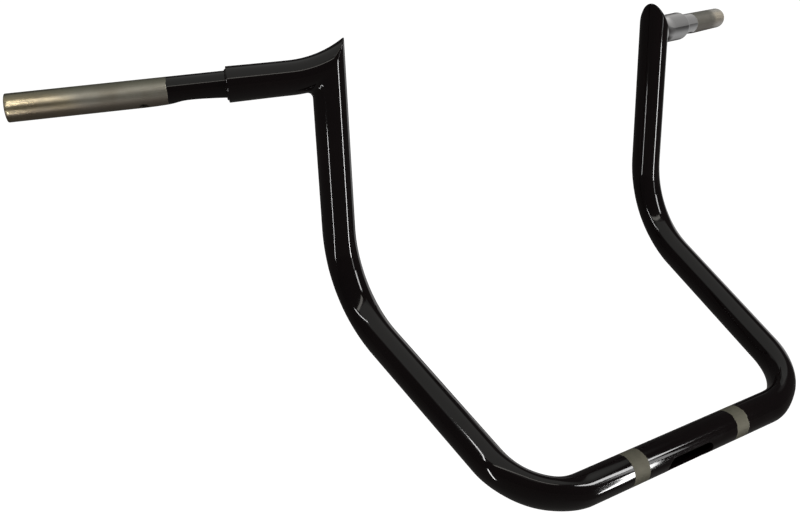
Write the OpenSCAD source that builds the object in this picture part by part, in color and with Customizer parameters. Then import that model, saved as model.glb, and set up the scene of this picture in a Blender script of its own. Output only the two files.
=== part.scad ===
// Motorcycle handlebar: a tall welded bar of thick steel tube, made for wires that run inside it.
//
// One main tube is bent four times. Its straight middle lies across the bike and is held by
// the riser clamps, two runs go back and up towards the rider, and two uprights stand on them.
// A short arm of the same tube curves up to meet the top of each upright in a long pointed
// mitre, and a thinner grip tube is pushed into the end of each arm and welded there.
//
// Millimetres. The origin is on the tube's axis in the middle of the clamped straight.
// X runs across the bike, -Y is the bike's front, and Z is up, as the uprights stand.

/* [Tube] */
// Outside diameter of the main tube and of the arms
tube_d = 31.75; // [30:0.25:34]
// Wall of the main tube and of the arms
tube_wall = 3.05; // [2:0.05:3.6]

/* [Main tube] */
// Straight length across the bike, between the two lower bends
clamp_straight = 251; // [190:1:320]
// Centre line radius of the lower bends
lower_bend_r = 66.7; // [55:0.1:80]
// Length of each run, between the corners that its two bends round off
run_length = 282.8; // [230:0.1:340]
// Angle at which the runs rise towards the rider
run_rise = 26.9; // [15:0.1:40]
// Angle at which each run opens outwards
run_splay = 5; // [2:0.1:10]
// Centre line radius of the upper bends
upper_bend_r = 113.3; // [90:0.1:125]
// Angle at which each upright leans outwards
upright_lean = 1; // [0:0.1:4]

/* [Wire slot] */
// Length of the slot that the wires leave by
slot_length = 61; // [40:1:80]
// Width of the slot
slot_width = 17; // [10:0.5:18]
// How far the slot's middle is off the middle of the straight
slot_offset = -3; // [-10:1:10]
// Angle of the slot below the level line to the front
slot_angle = 22; // [0:1:60]

/* [Arms] */
// Height of the arms over the clamped straight, at the uprights
arm_height = 344.5; // [310:0.1:380]
// Angle at which the arms are pulled back towards the rider
arm_back = 25.4; // [10:0.1:40]
// Angle at which the arms fall towards their ends
arm_droop = 2.1; // [0.5:0.1:6]
// Where the arm's upward curve starts, from the upright's axis
arm_curve_from = 35; // [30:0.5:40]
// Centre line radius of that curve
arm_curve_r = 110; // [100:0.5:130]
// Where the arm's thick tube ends, from the upright's axis
arm_end = 92; // [75:1:105]
// Radius of the ground weld in the corner under the arm
corner_fillet_r = 5.5; // [3:0.5:8]

/* [Grip tubes] */
// Outside diameter of the grip tubes
grip_d = 25.4; // [24:0.1:25.5]
// Wall of the grip tubes
grip_wall = 3.05; // [2:0.05:3.5]
// Gap all round between a grip tube and the arm that it is pushed into
grip_fit = 0.125; // [0.05:0.005:0.2]
// Length of grip tube inside the arm
grip_insert = 45; // [35:1:55]
// How much the grip tube's radius is turned down where it goes into the arm
grip_turned = 0.25; // [0.2:0.05:0.4]
// Bar end, from the upright's axis
bar_end = 284.3; // [260:0.1:310]
// Leg of the weld around the end of each arm
end_weld = 2; // [1:0.1:2.6]
// Chamfer on the grip tube's open end
end_chamfer = 0.6; // [0.3:0.1:1]

/* [Wire dents] */
// Outer end of the pressed dent under each grip tube, from the upright's axis
dent_from = 147; // [140:1:155]
// Deepest place of the dent
dent_deepest = 130; // [126:1:134]
// Inner end of the dent, where it runs out
dent_to = 97; // [95:1:110]
// Depth of the dent
dent_depth = 2.5; // [1:0.1:3]
// Radius of the round tool that pressed the dent
dent_tool_r = 12; // [9:0.5:16]

/* [Wire hole] */
// Diameter of the wire hole in the grip tube on the throttle side
hole_d = 8.2; // [5:0.1:10]
// Place of the hole, from the upright's axis
hole_at = 167; // [160:1:200]
// Angle of the hole from straight down towards the front
hole_angle = 32; // [0:1:60]

/* [Hidden] */
$fn = 96;

tube_r = tube_d / 2;
bore_r = tube_r - tube_wall;
grip_r = grip_d / 2;
grip_bore_r = grip_r - grip_wall;
// The arm's bore is opened up where the grip tube is pushed in, and the tube's end is turned down.
socket_r = grip_r + grip_fit;
insert_r = grip_r - grip_turned;

// Directions of the run and of the upright, and how the tube turns between them.
bend_1 = 90 - run_splay;
run_dir = [sin(run_splay), cos(run_splay) * cos(run_rise), cos(run_splay) * sin(run_rise)];
up_dir = [sin(upright_lean), 0, cos(upright_lean)];
bend_2 = acos(run_dir * up_dir);
// Axes of the tube's own frame along the run: side is square to the lower bend's plane.
side = [0, -sin(run_rise), cos(run_rise)];
inward = cross(side, run_dir);
roll_2 = atan2(up_dir * side, up_dir * inward);

lower_corner_x = clamp_straight / 2 + lower_bend_r * tan(bend_1 / 2);
run_straight = run_length - lower_bend_r * tan(bend_1 / 2) - upper_bend_r * tan(bend_2 / 2);
upper_corner = [lower_corner_x, 0, 0] + run_length * run_dir;
// Along the upright, from the upper corner to the height at which the arm's line meets it.
upright_to_arm = (arm_height - upper_corner[2]) / up_dir[2];
upright_foot = upper_bend_r * tan(bend_2 / 2);
arm_root = upper_corner + upright_to_arm * up_dir;

// The mitre, in the plane of arm and upright: X outwards and Z up from arm_root.
curve_centre = [arm_curve_from * cos(arm_droop) + arm_curve_r * sin(arm_droop),
                arm_curve_r * cos(arm_droop) - arm_curve_from * sin(arm_droop)];
// Corner under the arm: its outer curve meets the upright's outboard side.
under_angle = asin((curve_centre[0] - tube_r) / (arm_curve_r + tube_r));
mitre_low = [tube_r, curve_centre[1] - (arm_curve_r + tube_r) * cos(under_angle)];
// Point on top: the arm's inner curve meets the upright's inboard side.
top_angle = asin((curve_centre[0] + tube_r) / (arm_curve_r - tube_r));
mitre_top = [-tube_r, curve_centre[1] - (arm_curve_r - tube_r) * cos(top_angle)];
mitre_angle = atan2(mitre_top[1] - mitre_low[1], mitre_low[0] - mitre_top[0]);
// The uncut arm curves on through the mitre until it runs parallel to it.
arm_curve_angle = mitre_angle - arm_droop;

// Longer than any cut needs to be, and the length of upright that the mitre cuts off.
far = 200;
spare = 60;
// The bends are this much larger in radius than the straights, and each straight ends this far
// inside its bend, so that the tube is one solid whatever the rounding of its angles.
bend_swell = 0.01;
bend_lap = 0.3;

// A rod along +X.
module rod(length, r) {
    rotate([0, 90, 0]) cylinder(h = length, r = r);
}

// A straight stretch along +X, with a bend at each end.
module straight(length, r) {
    translate([-bend_lap, 0, 0]) rod(length + 2 * bend_lap, r);
}

// A bend that starts at the origin along +X and curves towards +Y.
module bend(centre_r, angle, r) {
    translate([0, centre_r, 0]) rotate([0, 0, -90])
        rotate_extrude(angle = angle) translate([centre_r, 0]) circle(r = r + bend_swell);
}

// What follows such a bend, in a frame whose +X is the tube's new direction.
module after_bend(centre_r, angle) {
    translate([centre_r * sin(angle), centre_r * (1 - cos(angle)), 0]) rotate([0, 0, angle]) children();
}

// The main tube's path on one side, swept by a round section of radius r.
module side_path(r) {
    translate([clamp_straight / 2, 0, 0]) rotate([run_rise, 0, 0]) {
        bend(lower_bend_r, bend_1, r);
        after_bend(lower_bend_r, bend_1) {
            straight(run_straight, r);
            translate([run_straight, 0, 0]) rotate([roll_2, 0, 0]) {
                bend(upper_bend_r, bend_2, r);
                after_bend(upper_bend_r, bend_2) straight(upright_to_arm - upright_foot + spare, r);
            }
        }
    }
}

module main_path(r) {
    translate([-clamp_straight / 2, 0, 0]) straight(clamp_straight, r);
    side_path(r);
    mirror([1, 0, 0]) side_path(r);
}

// Frame of the upright at the arm: +Z up the upright and +X outwards in the plane of the arm.
module upright_frame() {
    translate(arm_root) rotate([0, upright_lean, 0]) rotate([0, 0, arm_back]) children();
}

// Frame of the arm: +X outwards along its straight part, from the upright's axis.
module arm_frame() {
    upright_frame() rotate([0, arm_droop, 0]) children();
}

// All that lies on one side of the mitre plane: 1 is the arm's side and -1 the upright's.
module mitre_side(which) {
    upright_frame() translate([mitre_low[0], 0, mitre_low[1]]) rotate([0, mitre_angle, 0])
        translate([0, 0, which * far / 2]) cube(far, center = true);
}

// A slot with round ends, cut from the tube's axis outwards.
module wire_slot() {
    half = (slot_length - slot_width) / 2;
    translate([slot_offset, 0, 0]) rotate([90 + slot_angle, 0, 0]) {
        for (end = [-half, half]) translate([end, 0, 0]) cylinder(h = tube_d, d = slot_width);
        translate([-half, -slot_width / 2, 0]) cube([2 * half, slot_width, tube_d]);
    }
}

module main_tube() {
    color([0.03, 0.03, 0.035]) difference() {
        main_path(tube_r);
        main_path(bore_r);
        wire_slot();
        mitre_side(1);
        mirror([1, 0, 0]) mitre_side(1);
    }
}

// The arm's path, swept by a round section of radius r, from the mitre out to the arm's end.
module arm_path(r, to) {
    arm_frame() translate([arm_curve_from, 0, 0]) {
        translate([-bend_lap, 0, 0]) rod(to - arm_curve_from + bend_lap, r);
        rotate([90, 0, 180]) bend(arm_curve_r, arm_curve_angle, r);
    }
}

// Weld around the grip tube where it leaves the arm: a fillet from the arm's end face down to it.
module end_weld_ring() {
    arm_frame() translate([arm_end, 0, 0]) rotate([0, 90, 0]) rotate_extrude()
        polygon([[insert_r, -1], [insert_r, end_weld], for (a = [0:15:90])
            [grip_r + end_weld * (1 - cos(a)), end_weld * (1 - sin(a))], [grip_r + end_weld, -1]]);
}

// The ground weld under the arm is the hollow that a ball leaves when it rolls round the corner
// and touches both tubes. At an angle round the upright the ball's middle is this high.
function seam_z(reach, angle) =
    let (x = reach * cos(angle))
    curve_centre[1] - sqrt(pow(arm_curve_r + x, 2) - pow(x - curve_centre[0], 2));
function ball_at(reach, angle) = [reach * cos(angle), reach * sin(angle), seam_z(reach, angle)];
// The point of the arm's centre line that is nearest to a point, and the direction towards it.
function arm_near(p) =
    let (d = [p[0] - curve_centre[0], p[2] - curve_centre[1]])
    [curve_centre[0] + arm_curve_r * d[0] / norm(d), 0, curve_centre[1] + arm_curve_r * d[1] / norm(d)];
function unit(v) = v / norm(v);

// One section of the weld: the hollow from the upright to the arm, then a point inside the walls.
function weld_section(angle, steps, sink) =
    let (ball = ball_at(tube_r + corner_fillet_r, angle),
         to_upright = [-cos(angle), -sin(angle), 0],
         to_arm = unit(arm_near(ball) - ball))
    [for (i = [0:steps]) ball + (corner_fillet_r + sink) * unit(to_upright * (1 - i / steps) + to_arm * i / steps),
     ball_at(tube_r - 6 * sink, angle)];

module corner_weld() {
    steps = 5;
    sections = 16;
    widest = 62;
    sink = 0.25;
    row = steps + 2;
    points = [for (k = [0:sections]) each weld_section(-widest + 2 * widest * k / sections, steps, sink)];
    sides = [for (k = [0:sections - 1], i = [0:row - 1]) let (a = k * row + i, b = k * row + (i + 1) % row)
        each [[a, b, b + row], [a, b + row, a + row]]];
    caps = [[for (i = [0:row - 1]) row - 1 - i], [for (i = [0:row - 1]) sections * row + i]];
    difference() {
        upright_frame() polyhedron(points, concat(sides, caps));
        upright_frame() translate([0, 0, -spare]) cylinder(h = 2 * spare, r = tube_r);
    }
}

module right_arm() {
    color([0.03, 0.03, 0.035]) difference() {
        union() {
            intersection() {
                arm_path(tube_r, arm_end);
                mitre_side(1);
            }
            corner_weld();
            end_weld_ring();
        }
        arm_path(bore_r, arm_end - grip_insert);
        arm_frame() translate([arm_end - grip_insert, 0, 0]) rod(grip_insert, socket_r);
    }
}

module left_arm() {
    mirror([1, 0, 0]) right_arm();
}

// Depth of the dent at a place along the grip tube: a short round flank outside, a long ramp inside.
function dent_at(x) =
    x > dent_deepest
        ? dent_depth * (1 - pow((x - dent_deepest) / (dent_from - dent_deepest), 2))
        : dent_depth * (1 - pow((dent_deepest - x) / (dent_deepest - dent_to), 1.4));

// The tool that pressed the dent: a spindle under the tube, along it. grow makes it thicker.
module dent_tool(grow) {
    steps = 12;
    span = (dent_from - dent_to) / steps;
    stations = [for (i = [-1:steps + 1]) dent_to + i * span];
    translate([0, 0, -grip_r - dent_tool_r]) rotate([0, 90, 0]) rotate_extrude()
        polygon([[0, stations[0]], for (x = stations) [dent_tool_r + dent_at(x) + grow, x],
            [0, stations[steps + 2]]]);
}

module grip_tube(hole) {
    start = arm_end - grip_insert;
    // The full diameter starts at the weld's outer edge.
    color([0.45, 0.43, 0.38]) arm_frame() difference() {
        rotate([0, 90, 0]) rotate_extrude() polygon([[0, start], [insert_r, start],
            [insert_r, arm_end + end_weld], [grip_r, arm_end + end_weld],
            [grip_r, bar_end - end_chamfer], [grip_r - end_chamfer, bar_end], [0, bar_end]]);
        difference() {
            translate([start - 1, 0, 0]) rod(bar_end - start + 2, grip_bore_r);
            dent_tool(grip_wall);
        }
        dent_tool(0);
        if (hole) translate([hole_at, 0, 0]) rotate([180 + hole_angle, 0, 0]) cylinder(h = grip_d, d = hole_d);
    }
}

module right_grip_tube() {
    grip_tube(false);
}

module left_grip_tube() {
    mirror([1, 0, 0]) grip_tube(true);
}

main_tube();
left_arm();
right_arm();
left_grip_tube();
right_grip_tube();
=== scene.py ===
# %% [markdown]
# # A welded motorcycle handlebar in gloss black
#
# The real bar is steel tube. One long tube is bent four times, two short arms curve up into its
# tops in a pointed, welded corner, and a thinner grip tube is welded into the end of each arm.
# The welds are ground and everything is painted gloss black, except for the grip tubes and for
# two narrow bands where the clamps hold the bar.
#
# The CAD model is the frame of this scene: it fixes every length and every place. Here the tubes
# get a finer skin, because black gloss shows every facet as a kink in the reflections.

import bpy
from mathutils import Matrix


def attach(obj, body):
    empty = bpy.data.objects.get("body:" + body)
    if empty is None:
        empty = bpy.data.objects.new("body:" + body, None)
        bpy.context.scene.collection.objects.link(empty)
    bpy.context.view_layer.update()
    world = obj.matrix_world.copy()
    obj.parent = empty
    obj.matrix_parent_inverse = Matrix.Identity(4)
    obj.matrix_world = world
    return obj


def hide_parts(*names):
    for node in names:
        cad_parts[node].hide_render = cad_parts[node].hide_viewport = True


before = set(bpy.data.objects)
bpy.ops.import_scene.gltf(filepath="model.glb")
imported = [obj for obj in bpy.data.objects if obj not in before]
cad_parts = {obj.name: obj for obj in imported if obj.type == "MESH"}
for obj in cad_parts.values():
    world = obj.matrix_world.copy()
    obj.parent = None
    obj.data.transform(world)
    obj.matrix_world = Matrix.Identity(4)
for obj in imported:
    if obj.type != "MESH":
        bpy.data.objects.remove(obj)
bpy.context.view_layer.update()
print("CAD nodes:", ", ".join(sorted(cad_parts)))

# %% Modules
import math

import bpy
import numpy as np
from mathutils import Matrix, Vector, noise

MM = 0.001

# %% [markdown]
# ## The camera
#
# The bar was photographed from the front, from the left of it and a little above. The place and
# the lens were solved from the outlines of the tubes, whose diameters are known. A camera in
# Blender looks along its own -Z with +Y up, so its matrix is made of three columns: right, up and
# the reverse of the direction it looks in.

# %% Camera
camera_data = bpy.data.cameras.new("photo_camera")
camera_data.sensor_fit = "HORIZONTAL"
camera_data.sensor_width = 36.0
camera_data.lens = 46.90
camera_data.clip_start, camera_data.clip_end = 0.05, 60.0
camera = bpy.data.objects.new("photo_camera", camera_data)
bpy.context.scene.collection.objects.link(camera)
look = Vector((0.535095, 0.781225, -0.321498)).normalized()
up = Vector((0.206083, 0.248355, 0.946493))
right = look.cross(up).normalized()
up = right.cross(look)
camera.matrix_world = Matrix.Translation((-0.704461, -0.569599, 0.490417)) @ Matrix(
    (right, up, -look)).transposed().to_4x4()
bpy.context.scene.camera = camera
bpy.context.scene.view_settings.view_transform = "Standard"
print("camera", [round(v, 3) for v in camera.location], "lens", camera_data.lens)

# %% [markdown]
# ## Sizes
#
# These are the same sizes as in the CAD source, in millimetres and degrees. Each tube is described
# by a centre line and a round section that travels along it. Every section has the same number of
# points, so that each point starts a line that runs along the whole tube.

# %% Sizes of the tubes
tube_r, wall = 15.875, 3.05
clamp_straight, lower_bend_r, run_length = 251.0, 66.7, 282.8
run_rise, run_splay, upper_bend_r, upright_lean = 26.9, 5.0, 113.3, 1.0
arm_height, arm_back, arm_droop = 344.5, 25.4, 2.1
curve_from, curve_r, arm_end = 35.0, 110.0, 92.0
grip_r, grip_wall, grip_start, bar_end = 12.7, 3.05, 47.0, 284.3
columns = 120
column_turn = 2 * math.pi / columns
around = np.arange(columns) * column_turn
print(columns, "points round each tube, one every", round(tube_r * column_turn, 2), "mm")


# %% Helpers for angles in degrees
def sin(a):
    return math.sin(math.radians(a))


def cos(a):
    return math.cos(math.radians(a))


def tan(a):
    return math.tan(math.radians(a))


# %% Directions of the run and the upright
run_way = np.array([sin(run_splay), cos(run_splay) * cos(run_rise), cos(run_splay) * sin(run_rise)])
upright_way = np.array([sin(upright_lean), 0.0, cos(upright_lean)])
first_bend = 90.0 - run_splay
second_bend = math.degrees(math.acos(run_way @ upright_way))
inward_1 = np.array([0.0, cos(run_rise), sin(run_rise)])
across_1 = np.cross([1.0, 0.0, 0.0], inward_1)
lower_corner = np.array([clamp_straight / 2 + lower_bend_r * tan(first_bend / 2), 0.0, 0.0])
upper_corner = lower_corner + run_length * run_way
arm_root = upper_corner + (arm_height - upper_corner[2]) / upright_way[2] * upright_way
print("bends of", round(first_bend, 1), "and", round(second_bend, 1), "degrees")


# %% Helpers for directions and soft steps
def turned(axis, angle):
    """Turns vectors about an axis by an angle in degrees."""
    x, y, z = axis
    k = np.array([[0, -z, y], [z, 0, -x], [-y, x, 0]])
    return np.eye(3) + sin(angle) * k + (1 - cos(angle)) * (k @ k)


def soft_step(x):
    x = np.clip(x, 0.0, 1.0)
    return x * x * (3 - 2 * x)


def circle(angle, e1, e2):
    """Directions out from a tube's axis, at angles that turn from e1 towards e2."""
    return np.outer(np.cos(angle), e1) + np.outer(np.sin(angle), e2)


# %% [markdown]
# ## The main tube's centre line
#
# A tube bender pulls the tube round a die, and the tube gets a little flatter in the plane of the
# bend and wider across it. The photo shows that: both bends look thinner than the straights. So
# each station along the tube has a place, two directions across it, and an amount of flattening.
# The flattening comes and goes softly over the first and last third of each bend.

# %% Stations along one half of the main tube
flat_lower, flat_upper, flat_fade = 0.16, 0.13, 0.35
bend_step, run_steps = 2.4, 26


def stations():
    """Place, two directions across, flattening and its direction, from the clamped straight's end
    to the foot of the upright."""
    rows = []
    place = np.array([clamp_straight / 2, 0.0, 0.0])
    way, e1, e2 = np.array([1.0, 0.0, 0.0]), inward_1, across_1
    for radius, angle, flat, axis in (
            (lower_bend_r, first_bend, flat_lower, np.cross(way, inward_1)),
            (upper_bend_r, second_bend, flat_upper, np.cross(run_way, upright_way))):
        axis = axis / np.linalg.norm(axis)
        inward = np.cross(axis, way)
        centre = place + radius * inward
        beta = math.atan2(inward @ e2, inward @ e1)
        steps = int(radius * math.radians(angle) / bend_step)
        for i in range(steps + 1):
            turn = turned(axis, angle * i / steps)
            near = min(i, steps - i) / steps / flat_fade
            rows.append((centre + turn @ (place - centre), turn @ e1, turn @ e2,
                         flat * float(soft_step(near)), beta))
        place, way, e1, e2 = centre + turn @ (place - centre), turn @ way, turn @ e1, turn @ e2
        if radius == lower_bend_r:
            length = run_length - lower_bend_r * tan(first_bend / 2) - upper_bend_r * tan(second_bend / 2)
            rows += [(place + way * length * i / run_steps, e1, e2, 0.0, beta) for i in range(1, run_steps)]
            place = place + way * length
    return rows, place, e1, e2


half, upright_foot, foot_e1, foot_e2 = stations()
print(len(half), "stations on each side; the upright starts at", upright_foot.round(1))

# %% [markdown]
# ## The pointed corner
#
# Both tubes are cut on one slanting plane, so each line along the upright goes on as one line
# along the arm. Round the upright at an angle a, the two tubes meet where the upright's surface
# and the arm's ring-shaped surface are the same distance out. That gives the seam exactly. The
# skin is made of such lines: up the upright, over the seam and out along the arm.
#
# A real corner is welded and then ground, so the seam isn't a sharp edge. Near the seam each line
# is replaced by a soft curve: short at the point on top, and longer in the hollow underneath,
# where the weld fills the corner and keeps a few waves from the grinding.

# %% The arm's frame at the top of the upright
lean = turned([0.0, 1.0, 0.0], upright_lean) @ turned([0.0, 0.0, 1.0], arm_back)
out_way, side_way = lean[:, 0], lean[:, 1]
droop = turned([0.0, 1.0, 0.0], arm_droop)
arm_way = lean @ droop[:, 0]
arm_up = lean @ droop[:, 2]
centre_x = curve_from * cos(arm_droop) + curve_r * sin(arm_droop)
centre_z = curve_r * cos(arm_droop) - curve_from * sin(arm_droop)
start_angle = math.atan2(out_way @ foot_e2, out_way @ foot_e1)
twist = start_angle - round(start_angle / column_turn) * column_turn
line_angle = around + twist - start_angle
print("arm starts at", arm_root.round(1), "and the lines twist by", round(math.degrees(twist), 2), "degrees")

# %% How far the soft curve reaches from the seam
# 1.5 mm at the tip, 4 mm at the sides and 7 mm in the hollow.
outer_reach = (4.0 + 3.0 * soft_step((np.cos(line_angle) + 0.1) / 0.9)
               - 2.5 * soft_step((-np.cos(line_angle) - 0.6) / 0.4))
inner_reach = np.full(columns, 1.0)
print("the seam is softened over", outer_reach.min().round(2), "to", outer_reach.max().round(2), "mm")

# %% Lines over the corner
level_rows, level_below = 21, 42.0


def corner_lines(r, reach):
    """Rows of points over the corner for a skin of radius r: up the upright, then out to the end
    of the arm's curve. Each row holds one point for each line. The first rows are level, up to
    level_below under the arm's axis. Also returns the row that lies on the seam."""
    x, y = r * np.cos(line_angle), r * np.sin(line_angle)
    ring = curve_r + x
    seam_turn = np.arcsin((centre_x - x) / ring)
    seam_z = centre_z - ring * np.cos(seam_turn)

    def spot(px, pz):
        return arm_root + np.outer(px, out_way) + np.outer(y, side_way) + np.outer(pz, upright_way)

    def on_arm(d):
        turn = seam_turn - d / ring
        return spot(centre_x - ring * np.sin(turn), centre_z - ring * np.cos(turn))

    def softened(t):
        a, b, c = spot(x, seam_z - reach), spot(x, seam_z), on_arm(reach)
        return (1 - t) ** 2 * a + 2 * t * (1 - t) * b + t ** 2 * c

    foot_z = (upright_foot - arm_root) @ upright_way
    level = np.linspace(foot_z, -level_below, level_rows + 1)[1:]
    rows = [spot(x, np.full(columns, z)) for z in level]
    gap = seam_z - reach + level_below
    rows += [spot(x, -level_below + gap * f) for f in np.linspace(0, 1, 13)[1:-1]]
    rows += [softened(t) for t in np.linspace(0.0, 0.5, 10)]
    seam_row = len(rows) - 1
    rows += [softened(t) for t in np.linspace(0.5, 1.0, 10)[1:]]
    arc_left = seam_turn * ring - reach - math.radians(arm_droop) * ring
    rows += [on_arm(reach + arc_left * f) for f in np.linspace(0, 1, 15)[1:]]
    return rows, seam_row


# %% [markdown]
# ## The end of the arm
#
# The arm's thick tube ends in a step down to the grip tube, with a small bead of weld in the
# step. The arm swells by half a millimetre towards its end, where the weld's heat has upset it.
# The bead isn't a perfect ring: it was laid in short pulls, so its edge swells and shrinks a
# little round the tube.

# %% Rows for the arm's end and the bead
arm_swell, rim_edge, bead_size = 0.5, 0.6, 1.5


def arm_ring(s, r):
    """Ring of points round the arm, s along it and r from its axis."""
    out = np.outer(r * np.cos(line_angle), -arm_up) + np.outer(r * np.sin(line_angle), side_way)
    return arm_root + np.outer(s * np.ones(columns), arm_way) + out


def arm_end_rows():
    """Rows from the arm's curve out over its rounded end and down the weld to the grip tube."""
    rows = []
    for s in np.linspace(curve_from, arm_end - rim_edge, 24)[1:]:
        grown = ((s - curve_from) / (arm_end - curve_from)) ** 1.6
        rows.append(arm_ring(s, tube_r + arm_swell * grown))
    rim, bead = tube_r + arm_swell, grip_r + bead_size
    for a in (22, 45, 68, 90):
        rows.append(arm_ring(arm_end - rim_edge * (1 - sin(a)), rim - rim_edge * (1 - cos(a))))
    for r in np.linspace(rim - 2 * rim_edge, bead + 0.25, 3):
        rows.append(arm_ring(arm_end, r))
    # The bead is a quarter round that bulges out of the step, and its foot sits on the grip tube.
    lumps = 0.16 * np.sin(line_angle * 17 + 0.8 * np.sin(line_angle * 3)) + 0.1 * np.sin(line_angle * 5 + 1)
    for f in np.linspace(0, 1, 9):
        rows.append(arm_ring(arm_end + bead_size * sin(90 * f) * (1 + 0.3 * lumps),
                             grip_r - 0.04 + (bead_size + 0.6 * lumps * (1 - f)) * cos(90 * f)))
    rows.append(arm_ring(arm_end + 0.2, grip_r + 0.06))
    return rows


# %% Rows of the whole black skin on one side
def skin(r, reach):
    """Rows of points from the end of the clamped straight to the end of the arm's curve, for a
    skin of radius r, and the row that lies on the seam."""
    rows = []
    for place, e1, e2, flat, beta in half:
        n = np.cos(around - beta) * (1 - flat)
        b = np.sin(around - beta) * (1 + 0.5 * flat)
        a1 = math.cos(beta) * n - math.sin(beta) * b
        a2 = math.sin(beta) * n + math.cos(beta) * b
        rows.append(place + r * (np.outer(a1, e1) + np.outer(a2, e2)))
    corner, seam_row = corner_lines(r, reach)
    # The small twist that puts a line on the corner's point is spread over the level rows.
    for i, points in enumerate(corner[:level_rows]):
        a = around + twist * (i + 1) / level_rows
        rows.append(points.mean(axis=0) + r * circle(a, foot_e1, foot_e2))
    return rows + corner[level_rows:], len(half) + seam_row


outer_rows, outer_seam = skin(tube_r, outer_reach)
inner_rows, inner_seam = skin(tube_r - wall, inner_reach)
outer_rows += arm_end_rows()
inner_rows += [arm_ring(s, tube_r - wall) for s in np.linspace(curve_from, arm_end, 8)[1:]]
print(len(outer_rows), "rows of", columns, "points on each side, seam at row", outer_seam)

# %% [markdown]
# The ground weld under the corner gets its waves now. They fade out within a centimetre, and the
# rest of the seam is smooth, as filler and paint leave it. Each point moves along the skin's
# normal there, which comes from its neighbours in the row and in the rows before and after.


# %% Waves of the ground weld
def row_normals(rows, i):
    row = rows[i]
    normal = np.cross(np.roll(row, -1, axis=0) - np.roll(row, 1, axis=0), rows[i + 1] - rows[i - 1])
    return normal / np.linalg.norm(normal, axis=1)[:, None]


wave_height, wave_rows = 0.55, 5.0
for i in range(outer_seam - 9, outer_seam + 14):
    row, normal = outer_rows[i], row_normals(outer_rows, i)
    fade = math.exp(-((i - outer_seam) / wave_rows) ** 2)
    hollow = soft_step((np.cos(line_angle) - 0.15) / 0.5) * fade
    for j in range(columns):
        if hollow[j] > 0.01:
            wave = noise.noise(Vector(row[j] * 0.33)) + 0.4 * noise.noise(Vector(row[j] * 0.8))
            row[j] = row[j] + normal[j] * wave_height * wave * hollow[j]
print("weld in the hollow at", outer_rows[outer_seam][int(np.argmax(np.cos(line_angle)))].round(1))

# %% [markdown]
# ## A tube with an opening in its wall
#
# The wire slot in the straight and the wire hole in one grip tube are openings with a rolled edge.
# Cutting them with a Boolean would leave thin triangles that catch the light. Here a rectangle of
# the tube's own grid is left out, and rings of new points lead from its border in to the opening,
# round the edge and through the wall. The points keep even spacing all the way.


# %% Helper: outline of an opening
def opening_outline(half_length, r, count_right, count_top):
    """Points of a slot with round ends of radius r, starting at its lower right, in as many points
    per side as the rectangle round it has."""
    edge = 60.0
    arc = math.radians(90 - edge) * r
    total = 2 * arc + 2 * half_length

    def at(side, f):
        # The sides are the right arc, the top, the left arc and the bottom, and f is the share of one.
        sign = 1 if side < 2 else -1
        if side in (0, 2):
            a = -edge + 2 * edge * f
            return sign * (half_length + r * cos(a)), sign * r * sin(a)
        d = f * total
        if d < arc:
            a = edge + math.degrees(d / r)
            return sign * (half_length + r * cos(a)), sign * r * sin(a)
        if d > total - arc:
            a = 90 + math.degrees((d - total + arc) / r)
            return sign * (-half_length + r * cos(a)), sign * r * sin(a)
        return sign * (half_length - (d - arc)), sign * r

    counts = (count_right, count_top, count_right, count_top)
    return [at(side, k / count) for side, count in enumerate(counts) for k in range(count)]


# %% Helper: border of the rectangle that is left out
def rectangle_border(along, j0, j1):
    """Place along the tube and angle of each point round a rectangle of the grid, from its lower
    right corner. along holds the places of its rows, and j0 and j1 are its columns."""
    last = len(along) - 1
    loop = [(along[last], j) for j in range(j0, j1)]
    loop += [(along[k], j1) for k in range(last, 0, -1)]
    loop += [(along[0], j) for j in range(j1, j0, -1)]
    loop += [(along[k], j0) for k in range(last)]
    return [(u, j * column_turn) for u, j in loop]


# %% Helper: build a tube wall from rows, with an opening
class TubeMesh:
    """Collects points and faces of one tube, and turns them into a smooth Blender object."""

    def __init__(self):
        self.points, self.faces = [], []

    def add(self, point):
        self.points.append(point)
        return len(self.points) - 1

    def grid(self, rows, flip=False, leave=None):
        """Adds rows of points as a closed tube. leave is (first row, last row, first column, last
        column) of a rectangle that gets no faces. Returns the point numbers."""
        numbers = []
        for i, row in enumerate(rows):
            line = []
            for j, point in enumerate(row):
                inside = leave and leave[0] < i < leave[1] and leave[2] < j < leave[3]
                line.append(None if inside else self.add(point))
            numbers.append(line)
        for i in range(len(rows) - 1):
            for j in range(columns):
                if leave and leave[0] <= i < leave[1] and leave[2] <= j < leave[3]:
                    continue
                k = (j + 1) % columns
                face = [numbers[i][j], numbers[i][k], numbers[i + 1][k], numbers[i + 1][j]]
                self.faces.append(face[::-1] if flip else face)
        return numbers

    def join(self, loop_a, loop_b, flip=False):
        """Joins two closed loops of as many points."""
        count = len(loop_a)
        for k in range(count):
            n = (k + 1) % count
            face = [loop_a[k], loop_a[n], loop_b[n], loop_b[k]]
            self.faces.append(face[::-1] if flip else face)

    def finish(self, name, node, normals=None):
        """Makes the object, smooth all over, with given normals at some points. It takes the place
        of a CAD node and rides on the bar."""
        mesh = bpy.data.meshes.new(name)
        mesh.from_pydata([tuple(float(v) * MM for v in p) for p in self.points], [], self.faces)
        mesh.polygons.foreach_set("use_smooth", [True] * len(mesh.polygons))
        mesh.update()
        if normals:
            fixed = [(0.0, 0.0, 0.0)] * len(self.points)
            for number, normal in normals.items():
                fixed[number] = tuple(float(v) for v in normal)
            mesh.normals_split_custom_set_from_vertices(fixed)
        piece = bpy.data.objects.new(name, mesh)
        bpy.context.scene.collection.objects.link(piece)
        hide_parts(node)
        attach(piece, "root")
        print(name, len(mesh.vertices), "points,", len(mesh.polygons), "faces")
        return piece


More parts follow.
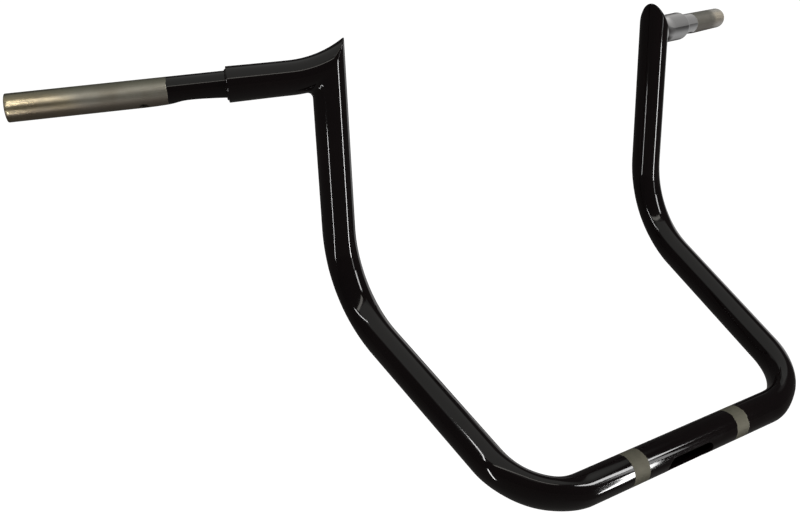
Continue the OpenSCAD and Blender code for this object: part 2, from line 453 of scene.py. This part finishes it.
# %% Helper: rings of points from a left-out rectangle through an opening
def add_opening(mesh, outer, inner, leave, along, shape, skin_r, depth_of_wall, to_point, edge, flip=True):
    """Fills the left-out rectangles of the outer and inner skin up to an opening's rolled edge.
    outer and inner are the skins' point numbers, and along holds the places of the rectangle's
    rows. shape is the opening's half length, radius, middle along the tube and middle angle.
    to_point(u, angle, depth) gives a point of the tube at a depth in its wall."""
    half_length, radius, middle, middle_angle = shape
    i0, i1, j0, j1 = leave
    border = rectangle_border(along, j0, j1)

    def border_numbers(numbers):
        loop = [numbers[i1][j] for j in range(j0, j1)]
        loop += [numbers[i][j1] for i in range(i1, i0, -1)]
        loop += [numbers[i0][j] for j in range(j1, j0, -1)]
        return loop + [numbers[i][j0] for i in range(i0, i1)]

    def ring(depth, grow, share):
        """Ring at a depth, grown outwards from the opening, and then a share of the way to the border."""
        loop = []
        for (u, c), (border_u, border_a) in zip(
                opening_outline(half_length, radius + grow, j1 - j0, i1 - i0), border):
            a = middle_angle + math.asin(c / (skin_r - depth))
            loop.append(mesh.add(to_point(middle + u + (border_u - middle - u) * share,
                                          a + (border_a - a) * share, depth)))
        return loop

    loops = [border_numbers(outer)]
    loops += [ring(0.0, edge, share) for share in (0.72, 0.48, 0.28, 0.12, 0.04)]
    loops += [ring(edge * (1 - cos(a)), edge * (1 - sin(a)), 0.0) for a in (0, 30, 60, 90)]
    loops += [ring(edge + (depth_of_wall - 2 * edge) * f, 0.0, 0.0) for f in (0.33, 0.67)]
    loops += [ring(depth_of_wall - edge * (1 - cos(a)), edge * (1 - sin(a)), 0.0) for a in (90, 60, 30, 0)]
    loops += [ring(depth_of_wall, edge, share) for share in (0.2, 0.5, 0.75)]
    loops.append(border_numbers(inner))
    for a, b in zip(loops, loops[1:]):
        mesh.join(a, b, flip=flip)


# %% [markdown]
# ## The main tube
#
# Its rows run from the left corner to the right one. The left half is the right half mirrored, so
# its rows come in reverse order. The wire slot faces down and to the front, at the middle of the
# straight, and through it the hollow inside shows.

# %% Rows of the straight with room for the slot
slot_middle, slot_half, slot_radius, slot_below, slot_edge = -3.0, 22.0, 8.5, 22.0, 0.5
slot_room, slot_columns = 42.0, 18
leave_from, leave_to = slot_middle - slot_room, slot_middle + slot_room
places = list(np.linspace(-clamp_straight / 2, leave_from, 22)[1:])
first_left_out = len(places) - 1
places += list(np.linspace(leave_from, leave_to, 41)[1:])
last_left_out = len(places) - 1
places += list(np.linspace(leave_to, clamp_straight / 2, 24)[1:-1])


def straight_row(x, r):
    return np.array([x, 0.0, 0.0]) + r * circle(around, inward_1, across_1)


def mirrored(rows):
    return [row * np.array([-1.0, 1.0, 1.0]) for row in rows][::-1]


slot_way = np.array([0.0, -cos(slot_below), -sin(slot_below)])
slot_angle = math.atan2(slot_way @ across_1, slot_way @ inward_1) % (2 * math.pi)
slot_column = int(round(slot_angle / column_turn))
print("slot at column", slot_column, "of", columns)

# %% Main tube piece
outer_half, inner_half = outer_rows[:outer_seam + 1], inner_rows[:inner_seam + 1]
outer_main = mirrored(outer_half) + [straight_row(x, tube_r) for x in places] + outer_half
inner_main = mirrored(inner_half) + [straight_row(x, tube_r - wall) for x in places] + inner_half
start = len(outer_half)
leave = (start + first_left_out, start + last_left_out,
         slot_column - slot_columns, slot_column + slot_columns)
tube = TubeMesh()
outer_numbers = tube.grid(outer_main, leave=leave)
inner_numbers = tube.grid(inner_main, flip=True, leave=leave)


def slot_point(u, a, depth):
    return np.array([u, 0.0, 0.0]) + (tube_r - depth) * (math.cos(a) * inward_1 + math.sin(a) * across_1)


add_opening(tube, outer_numbers, inner_numbers, leave, places[first_left_out:last_left_out + 1],
            (slot_half, slot_radius, slot_middle, slot_angle), tube_r, wall, slot_point, slot_edge)
tube.join(outer_numbers[0], inner_numbers[0], flip=True)
tube.join(outer_numbers[-1], inner_numbers[-1])
seam_normal = row_normals(outer_rows, outer_seam)
seam_normals = {outer_numbers[-1][j]: seam_normal[j] for j in range(columns)}
seam_normals.update({outer_numbers[0][j]: seam_normal[j] * np.array([-1, 1, 1]) for j in range(columns)})
main_tube = tube.finish("painted_main_tube", "main_tube", seam_normals)

# %% [markdown]
# ## The two arms
#
# The arm's skin starts on the seam and ends in the weld bead. It shares the seam's points and
# normals with the main tube, so that no line shows where the two pieces meet, just as on the
# ground and painted corner.


# %% Arm pieces
def arm(name, node, mirror):
    scale = np.array([-1.0, 1.0, 1.0]) if mirror else np.array([1.0, 1.0, 1.0])
    mesh = TubeMesh()
    outer = mesh.grid([row * scale for row in outer_rows[outer_seam:]], flip=mirror)
    inside = mesh.grid([row * scale for row in inner_rows[inner_seam:]], flip=not mirror)
    mesh.join(outer[0], inside[0], flip=not mirror)
    mesh.join(outer[-1], inside[-1], flip=mirror)
    return mesh.finish(name, node, {outer[0][j]: seam_normal[j] * scale for j in range(columns)})


right_arm = arm("painted_right_arm", "right_arm", False)
left_arm = arm("painted_left_arm", "left_arm", True)

# %% [markdown]
# ## The grip tubes
#
# A blunt tool has pressed a dent into the underside of each grip tube, so that wires can pass
# under the switch housings. The dent starts steeply at its outer end and runs out slowly towards
# the arm. The left tube also has a wire hole. At each place along the tube, the tool is a circle
# below it, and the skin stops where the tool is. The tool is turned a little to the front, where
# the wires come out, and its depth at a few places along the tube is read from the outline.

# %% Shape of the dent
dent_profile = ((80, -0.5), (88, 0.5), (94, 1.2), (102, 1.95), (109, 2.45), (116, 2.85), (123, 3.1),
                (129, 3.1), (134, 2.75), (138, 1.9), (141, 1.2), (146, 0.65), (152, 0.3), (160, -0.2),
                (168, -0.6))
dent_places, dent_depths = zip(*dent_profile)
tool_r, tool_turn, pressed_edge = 60.0, 10.0, 0.7


def dent_depth_at(s):
    """Depth of the dent, as a smooth line through the places above."""
    near = np.array([s - 2.5, s - 1.0, s, s + 1.0, s + 2.5])
    return float(np.interp(near, dent_places, dent_depths).mean())


def grip_radius(s, from_below):
    """Radius of the grip tube's skin at a place, from_below radians round from the tool's middle."""
    reach, away = tool_r + dent_depth_at(s), grip_r + tool_r
    inside = reach ** 2 - (away * math.sin(from_below)) ** 2
    if math.cos(from_below) < 0 or inside <= 0:
        return grip_r
    cut = away * math.cos(from_below) - math.sqrt(inside)
    # The pressed edge is rounded: a soft minimum of the two.
    h = min(max(0.5 + 0.5 * (grip_r - cut) / pressed_edge, 0.0), 1.0)
    return min(grip_r, cut * h + grip_r * (1 - h) - pressed_edge * h * (1 - h))


print("dent", max(dent_depths), "mm deep, pressed with a tool of radius", tool_r, "mm")

# %% Rows of a grip tube
grip_places = list(np.linspace(grip_start, 86.0, 8)) + list(np.linspace(86.0, 152.0, 48)[1:])
hole_at, hole_r, hole_turn, hole_edge, hole_columns = 167.0, 4.1, 32.0, 0.35, 10
hole_from = len(grip_places) - 1
grip_places += list(np.linspace(152.0, 182.0, 17)[1:])
hole_to = len(grip_places) - 1
grip_places += list(np.linspace(182.0, bar_end - 0.6, 32)[1:])
print(len(grip_places), "rows along each grip tube, with a hole at", hole_at, "mm in one of them")


# %% Grip tube pieces
def grip_out(a):
    """Direction out from the grip tube's axis, at an angle round from its underside."""
    return -math.cos(a) * arm_up + math.sin(a) * side_way


def grip_point(s, a, depth):
    """Point of a grip tube: place along it, angle round it from its underside, depth in the wall."""
    from_tool = (a + math.radians(tool_turn) + math.pi) % (2 * math.pi) - math.pi
    return arm_root + s * arm_way + (grip_radius(s, from_tool) - depth) * grip_out(a)


def grip_tube(name, node, mirror, hole):
    scale = np.array([-1.0, 1.0, 1.0]) if mirror else np.array([1.0, 1.0, 1.0])
    outside = [np.array([grip_point(s, a, 0.0) for a in around]) * scale for s in grip_places]
    inside = [np.array([grip_point(s, a, grip_wall) for a in around]) * scale for s in grip_places]
    # The hole is in the underside's front, where the angle is negative.
    hole_angle = 2 * math.pi - math.radians(hole_turn)
    hole_column = int(round(hole_angle / column_turn))
    leave = (hole_from, hole_to, hole_column - hole_columns, hole_column + hole_columns) if hole else None
    mesh = TubeMesh()
    out_numbers = mesh.grid(outside, flip=mirror, leave=leave)
    in_numbers = mesh.grid(inside, flip=not mirror, leave=leave)
    last = out_numbers[-1]
    # Rings over the open end: a rounded outer edge, the flat face and a small inner bevel.
    for s, depth in ((bar_end - 0.18, 0.18), (bar_end, 0.6), (bar_end, 1.2), (bar_end, grip_wall - 0.3)):
        ring = [mesh.add((arm_root + s * arm_way + (grip_r - depth) * grip_out(a)) * scale) for a in around]
        mesh.join(last, ring, flip=mirror)
        last = ring
    mesh.join(last, in_numbers[-1], flip=mirror)
    mesh.join(out_numbers[0], in_numbers[0], flip=not mirror)
    if hole:
        add_opening(mesh, out_numbers, in_numbers, leave, grip_places[hole_from:hole_to + 1],
                    (0.0, hole_r, hole_at, hole_angle), grip_r, grip_wall,
                    lambda u, a, depth: grip_point(u, a, depth) * scale, hole_edge, flip=not mirror)
    return mesh.finish(name, node)


right_grip = grip_tube("right_grip", "right_grip_tube", False, False)
left_grip = grip_tube("left_grip", "left_grip_tube", True, True)

# %% [markdown]
# ## Finishes
#
# Three finishes are enough. Gloss black paint is nearly black and mirror-smooth, with a faint
# unevenness that softens the edges of the reflections. The bare bands and grip tubes are the
# steel itself: masked before painting, then stained by handling, and the grip tubes also carry
# painted shade on top and underneath. The border between paint and steel is a place on the
# object, so it is worked out from the object's own coordinates.


# %% Helper: shortcuts for nodes
def is_socket(value):
    return isinstance(value, bpy.types.NodeSocket)


class Nodes:
    """Adds nodes to a tree. An input that is a socket is linked, and any other value is set."""

    def __init__(self, tree):
        self.tree = tree

    def add(self, kind, inputs=(), **settings):
        node = self.tree.nodes.new(kind)
        for key, value in settings.items():
            setattr(node, key, value)
        for key, value in dict(inputs).items():
            if is_socket(value):
                self.tree.links.new(value, node.inputs[key])
            else:
                node.inputs[key].default_value = value
        return node

    def math(self, operation, a, b=0.0, clamp=False):
        return self.add("ShaderNodeMath", {0: a, 1: b}, operation=operation, use_clamp=clamp).outputs[0]

    def step(self, value, low, high):
        """Rises softly from 0 to 1 between two values, or falls if low is the greater."""
        return self.add("ShaderNodeMapRange", {"Value": value, "From Min": low, "From Max": high},
                        interpolation_type="SMOOTHSTEP").outputs["Result"]


# %% Helper: a material with its patterns
class Finish(Nodes):
    """The material of one finish, for one material slot of the bar."""

    def __init__(self, name, slot_name):
        self.material = bpy.data.materials.new(name)
        self.material.use_nodes = True
        super().__init__(self.material.node_tree)
        self.shader = self.tree.nodes["Principled BSDF"]
        self.place = self.add("ShaderNodeTexCoord").outputs["Object"]
        self.slot_name = slot_name
        self.set("IOR", 1.5)

    def along(self, way, origin=(0.0, 0.0, 0.0)):
        """Distance of a point along a direction."""
        moved = self.add("ShaderNodeVectorMath", {0: self.place, 1: origin}, operation="SUBTRACT").outputs[0]
        return self.add("ShaderNodeVectorMath", {0: moved, 1: way}, operation="DOT_PRODUCT").outputs["Value"]

    def noise(self, scale, detail=3.0, rough=0.5, vector=None):
        return self.add("ShaderNodeTexNoise", {"Vector": vector or self.place, "Scale": scale,
                                               "Detail": detail, "Roughness": rough}).outputs["Fac"]

    def wobble(self, pattern, amount):
        """A pattern of 0 to 1 turned into a shift to both sides."""
        return self.math("MULTIPLY", self.math("SUBTRACT", pattern, 0.5), amount)

    def ramp(self, value, *stops):
        node = self.add("ShaderNodeValToRGB", {"Fac": value})
        elements = node.color_ramp.elements
        while len(elements) < len(stops):
            elements.new(0.5)
        for element, (place, colour) in zip(elements, stops):
            element.position = place
            element.color = (*colour, 1.0)
        return node.outputs["Color"]

    def mix(self, factor, a, b):
        """Mixes two numbers, or two colours if they are colours."""
        def is_number(value):
            return value.type == "VALUE" if is_socket(value) else isinstance(value, float)

        node = self.tree.nodes.new("ShaderNodeMix")
        node.data_type = "FLOAT" if is_number(a) or is_number(b) else "RGBA"
        for socket, value in zip([s for s in node.inputs if s.enabled], (factor, a, b)):
            if is_socket(value):
                self.tree.links.new(value, socket)
            else:
                socket.default_value = value if is_number(value) else (*value, 1.0)
        return next(s for s in node.outputs if s.enabled)

    def bump(self, height, strength, distance, below=None):
        """Normals for a height pattern, on top of those of the pattern below it."""
        inputs = {"Height": height, "Strength": strength, "Distance": distance}
        if below:
            inputs["Normal"] = below
        return self.add("ShaderNodeBump", inputs).outputs[0]

    def set(self, name, value):
        if is_socket(value):
            self.tree.links.new(value, self.shader.inputs[name])
        else:
            self.shader.inputs[name].default_value = value

    def cover(self, *pieces):
        for piece in pieces:
            piece.data.materials.clear()
            piece.data.materials.append(self.material)


# %% [markdown]
# ### Gloss black paint
#
# The black is slightly warm. Roughness is low and varies a little, as a rubbed paint does. The
# bump is paint's own unevenness, a few millimetres wide and very shallow, plus rare dust nibs.

# %% Paint on a finish
paint_black, paint_worn = (0.0042, 0.0026, 0.0028), (0.0063, 0.0039, 0.0042)


def paint_parts(finish):
    """Colour, roughness and normals of the gloss paint."""
    colour = finish.ramp(finish.noise(20.0), (0.3, paint_black), (0.8, paint_worn))
    rough = finish.ramp(finish.noise(38.0, 4.0), (0.3, (0.045,) * 3), (0.75, (0.095,) * 3))
    peel = finish.noise(210.0, 2.0)
    dust = finish.step(finish.noise(900.0, 1.0), 0.76, 0.82)
    height = finish.math("ADD", finish.math("MULTIPLY", peel, 0.6), finish.math("MULTIPLY", dust, 0.5))
    return colour, rough, finish.bump(height, 0.012, 0.0004)


gloss = Finish("gloss_black", "gloss_black_paint")
for socket_name, value in zip(("Base Color", "Roughness", "Normal"), paint_parts(gloss)):
    gloss.set(socket_name, value)
gloss.cover(left_arm, right_arm)
print("gloss paint on the arms")

# %% [markdown]
# ### Bare bands on the main tube
#
# The clamps bite on bare metal: two bands were taped over before painting. The metal there is
# dull, olive grey and rough like fine emery, to grip. The edge of the tape wasn't quite straight,
# so the border gets a small wobble, and the paint stands a hair above the steel.

# %% Banded paint for the main tube
band_places = ((-0.0787, -0.0592), (0.0615, 0.0789))
band_edge = 0.00018
olive_dark, olive_middle, olive_light = (0.115, 0.108, 0.078), (0.175, 0.165, 0.122), (0.21, 0.2, 0.155)

banded = Finish("gloss_black_with_bare_bands", "gloss_black_paint")
paint, rough, paint_normal = paint_parts(banded)
tape_wobble = banded.wobble(banded.noise(85.0, 3.0, 0.6), 0.0045)
wavy_x = banded.math("ADD", banded.along((1.0, 0.0, 0.0)), tape_wobble)


def band(low, high):
    rise = banded.step(wavy_x, low - band_edge, low + band_edge)
    fall = banded.step(wavy_x, high - band_edge, high + band_edge)
    return banded.math("SUBTRACT", rise, fall, clamp=True)


bare = banded.math("ADD", *(band(low, high) for low, high in band_places), clamp=True)
grain = banded.noise(1500.0, 3.0, 0.65)
blotch = banded.noise(120.0, 4.0, 0.6)
olive = banded.mix(grain, banded.ramp(blotch, (0.3, olive_dark), (0.7, olive_middle)), olive_light)
banded.set("Base Color", banded.mix(bare, paint, olive))
banded.set("Metallic", banded.math("MULTIPLY", bare, 0.55))
banded.set("Roughness", banded.mix(bare, rough, banded.mix(grain, 0.5, 0.75)))
edge_normal = banded.bump(banded.math("SUBTRACT", 1.0, bare), 0.6, 0.00025, paint_normal)
banded.set("Normal", banded.bump(banded.math("MULTIPLY", grain, bare), 0.5, 0.0003, edge_normal))
banded.cover(main_tube)
print("bare bands at x", ", ".join(f"{low * 1000:.0f} to {high * 1000:.0f} mm" for low, high in band_places))

# %% [markdown]
# ### Bare grip tubes
#
# The grip tubes are drawn steel, satin and warm grey, with cloudy stains and faint scratches
# along the tube. Painted shade darkens the top to olive and the underside to brown, which leaves
# the middle of the side lighter. Towards the bar end the metal was polished by handling and has
# yellowed. The paint ends square round the tube, just outside the dent, and each tube needs the
# direction of its own axis to find that place.

# %% Colours of the bare steel
steel_dark, steel_middle, steel_light = (0.23, 0.205, 0.155), (0.31, 0.29, 0.235), (0.36, 0.34, 0.285)
yellow_dark, yellow_light = (0.27, 0.2, 0.11), (0.5, 0.41, 0.24)
# Painted shade: the olive colour darkens the top of each grip tube and the brown colour darkens its
# underside.
top_shade_olive, underside_shade_brown = (0.11, 0.11, 0.07), (0.12, 0.085, 0.06)
scratch_dark, grain_light = (0.17, 0.15, 0.12), (0.5, 0.48, 0.43)
paint_end, polish_from, polish_to = 0.145, 0.215, 0.262
print("paint ends", round(paint_end * 1000), "mm from the upright on both grip tubes")


# %% Grip finish for one side
def grip_finish(name, side):
    finish = Finish(name, "bare_steel")
    way = tuple(float(v) for v in arm_way * (side, 1, 1))
    root = tuple(float(v) * MM for v in arm_root * (side, 1, 1))
    s = finish.along(way, root)
    _, rough, paint_normal = paint_parts(finish)
    wavy_s = finish.math("ADD", s, finish.wobble(finish.noise(140.0, 3.0), 0.0016))
    bare = finish.step(wavy_s, paint_end - 0.0002, paint_end + 0.0002)
    # Scratches run along the tube: the pattern is stretched in that direction.
    shrink = finish.math("MULTIPLY", s, -0.93)
    stretch = finish.add("ShaderNodeVectorMath", {0: way, 3: shrink}, operation="SCALE")
    drawn = finish.add("ShaderNodeVectorMath", {0: finish.place, 1: stretch.outputs[0]}, operation="ADD")
    scratch = finish.noise(620.0, 4.0, 0.6, drawn.outputs[0])
    cloud = finish.noise(26.0, 4.0, 0.6)
    grain = finish.noise(1300.0, 3.0, 0.6)
    polished = finish.step(finish.math("ADD", s, finish.wobble(cloud, 0.09)), polish_from, polish_to)
    steel = finish.ramp(cloud, (0.28, steel_dark), (0.5, steel_middle), (0.72, steel_light))
    yellow = finish.ramp(cloud, (0.3, yellow_dark), (0.7, yellow_light))
    facing = finish.add("ShaderNodeNewGeometry").outputs["Normal"]
    upward = finish.add("ShaderNodeSeparateXYZ", {0: facing}).outputs["Z"]
    colour = finish.mix(polished, steel, yellow)
    # The first two mixes are painted shade, chosen by the way the surface faces: olive on top and brown
    # underneath. The scratches and grain are the steel's own.
    for amount, pattern, stain in (
            (0.75, finish.step(upward, 0.55, 0.95), top_shade_olive),
            (0.72, finish.step(upward, 0.1, -0.45), underside_shade_brown),
            (0.3, finish.step(scratch, 0.35, 0.7), scratch_dark),
            (0.25, grain, grain_light)):
        colour = finish.mix(finish.math("MULTIPLY", pattern, amount), colour, stain)
    finish.set("Base Color", finish.mix(bare, paint_black, colour))
    finish.set("Metallic", finish.math("MULTIPLY", bare, 0.85))
    satin = finish.mix(polished, finish.mix(grain, 0.4, 0.55), finish.mix(scratch, 0.2, 0.36))
    finish.set("Roughness", finish.mix(bare, rough, satin))
    edge_normal = finish.bump(finish.math("SUBTRACT", 1.0, bare), 0.5, 0.0002, paint_normal)
    fine = finish.math("MULTIPLY", finish.math("ADD", finish.math("MULTIPLY", grain, 0.5), scratch), bare)
    finish.set("Normal", finish.bump(fine, 0.22, 0.0003, edge_normal))
    return finish


grip_finish("bare_left_grip", -1).cover(left_grip)
grip_finish("bare_right_grip", 1).cover(right_grip)
print("bare steel on both grip tubes")

# %% [markdown]
# ## The studio
#
# Black gloss has no colour of its own: what is seen is the studio in it. The photo tells where the
# lights stood. The grey tops of the arms are a soft light overhead, and a narrow light at its front
# edge shows as a clean line. The two white lines down each upright are narrow upright lights, in
# line above each other: one row near on the right and one row on the left. A backdrop all round
# would put white rims on the tubes. So the backdrop is white where the camera looks, and in the
# paint it is seen only behind the right arm, which the photo shows in light grey.


# %% Helpers for the world and the floor
def seen_straight(nodes, path):
    """1 for what the camera sees, straight or through something clear."""
    return nodes.math("ADD", path["Is Camera Ray"], path["Is Transmission Ray"], clamp=True)


def between_headings(nodes, parts, start, full_start, full_end, end):
    """Soft sector of the compass, in degrees from the bar's right towards its back."""
    heading = nodes.math("ARCTAN2", parts["Y"], parts["X"])
    return nodes.math("MULTIPLY", nodes.step(heading, math.radians(start), math.radians(full_start)),
                      nodes.step(heading, math.radians(end), math.radians(full_end)))


# %% World: white for the camera, white paper behind the right arm in the paint
room_dim, paper_bright, ceiling_bright, room_soft = 0.045, 0.78, 0.2, 0.32
world = bpy.data.worlds.new("studio")
bpy.context.scene.world = world
world.use_nodes = True
world.node_tree.nodes.clear()
studio = Nodes(world.node_tree)
way = studio.add("ShaderNodeTexCoord").outputs["Generated"]
parts = studio.add("ShaderNodeSeparateXYZ", {0: way}).outputs
paper = studio.math("MULTIPLY", between_headings(studio, parts, 2, 12, 33, 42),
                    studio.step(parts["Z"], 0.42, 0.24))
# Straight above, the room is a little lighter than at the sides.
ceiling = studio.step(parts["Z"], 0.72, 0.8)
level = studio.math("ADD", room_dim, studio.math("ADD", studio.math("MULTIPLY", paper, paper_bright),
                                                 studio.math("MULTIPLY", ceiling, ceiling_bright)))
path = studio.add("ShaderNodeLightPath").outputs
in_gloss = studio.math("MULTIPLY", path["Is Glossy Ray"], level)
on_matt = studio.math("MULTIPLY", path["Is Diffuse Ray"], room_soft)
strength = studio.math("ADD", seen_straight(studio, path), studio.math("ADD", in_gloss, on_matt))
room = studio.add("ShaderNodeBackground", {"Color": (1.0, 0.985, 0.97, 1.0), "Strength": strength})
studio.add("ShaderNodeOutputWorld", {"Surface": room.outputs[0]})
print("world: 1 for the camera, in the gloss", room_dim, "and", room_dim + paper_bright, "on the paper")

# %% [markdown]
# The floor is pale and far below, because a handlebar has no foot to stand on. Where the camera
# looks it is as white as the backdrop, and it still takes the bar's faint shadow. In the gloss it
# is dim, but for the part where the white paper comes down behind the right arm.

# %% Floor
floor_z, floor_half, floor_paper = -0.9, 30.0, 0.7
mesh = bpy.data.meshes.new("floor")
mesh.from_pydata([(x * floor_half, y * floor_half, floor_z) for x, y in ((-1, -1), (1, -1), (1, 1), (-1, 1))],
                 [], [(0, 1, 2, 3)])
floor = bpy.data.objects.new("floor", mesh)
bpy.context.scene.collection.objects.link(floor)
floor_material = bpy.data.materials.new("pale_floor")
floor_material.use_nodes = True
floor_material.node_tree.nodes.clear()
floor_nodes = Nodes(floor_material.node_tree)
place = floor_nodes.add("ShaderNodeTexCoord").outputs["Object"]
parts = floor_nodes.add("ShaderNodeSeparateXYZ", {0: place}).outputs
paper = floor_nodes.math("MULTIPLY", between_headings(floor_nodes, parts, 7, 17, 28, 38),
                         floor_nodes.step(parts["X"], 2.6, 4.0))
path = floor_nodes.add("ShaderNodeLightPath").outputs
paper = floor_nodes.math("MULTIPLY", paper, floor_paper)
in_gloss = floor_nodes.math("MULTIPLY", path["Is Glossy Ray"], paper)
strength = floor_nodes.math("ADD", seen_straight(floor_nodes, path), in_gloss)
matt = floor_nodes.add("ShaderNodeBsdfDiffuse", {"Color": (0.2, 0.195, 0.19, 1.0)})
glow = floor_nodes.add("ShaderNodeEmission", {"Color": (1.0, 1.0, 1.0, 1.0), "Strength": strength})
both = floor_nodes.add("ShaderNodeAddShader", {0: matt.outputs[0], 1: glow.outputs[0]})
floor_nodes.add("ShaderNodeOutputMaterial", {"Surface": both.outputs[0]})
mesh.materials.append(floor_material)
print("floor at", floor_z, "m")


# %% Helper: a rectangular lamp, bright as stated all over its face
def soft_lamp(name, place, target, width, height, brightness, colour=(1.0, 1.0, 1.0)):
    data = bpy.data.lights.new(name, "AREA")
    data.shape = "RECTANGLE"
    data.size, data.size_y = width, height
    data.energy = brightness * math.pi * width * height
    data.color = colour
    lamp = bpy.data.objects.new(name, data)
    bpy.context.scene.collection.objects.link(lamp)
    back = (Vector(place) - Vector(target)).normalized()
    lift = Vector((0, 0, 1)) if abs(back.z) < 0.95 else Vector((0, 1, 0))
    side = lift.cross(back).normalized()
    turn = Matrix((side, back.cross(side), back)).transposed().to_4x4()
    lamp.matrix_world = Matrix.Translation(place) @ turn
    lamp.visible_camera = False
    print(name, width, "x", height, "m, brightness", brightness)


# %% Lamps
soft_lamp("overhead", (0.0, 0.45, 2.05), (0.0, 0.45, 0.0), 3.4, 3.0, 0.24, (0.94, 1.0, 0.94))
soft_lamp("front_edge", (-0.5, -0.86, 1.6), (-0.3, 0.3, 0.34), 2.2, 0.12, 2.4, (1.0, 0.97, 0.9))
soft_lamp("near_strip_low", (0.761, -0.988, -0.16), (0.0, 0.0, -0.16), 0.08, 0.66, 30.0)
soft_lamp("near_strip_middle", (0.80, -0.92, 0.4), (0.0, 0.0, 0.4), 0.1, 0.4, 4.0)
soft_lamp("near_strip_high", (0.881, -0.847, 0.93), (0.0, 0.0, 0.93), 0.17, 0.6, 13.0)
soft_lamp("far_strip_low", (-0.92, -0.08, -0.115), (-0.2, 0.25, -0.115), 0.028, 0.47, 28.0)
soft_lamp("far_strip_high", (-0.92, -0.08, 0.97), (-0.2, 0.25, 0.97), 0.034, 0.75, 24.0)
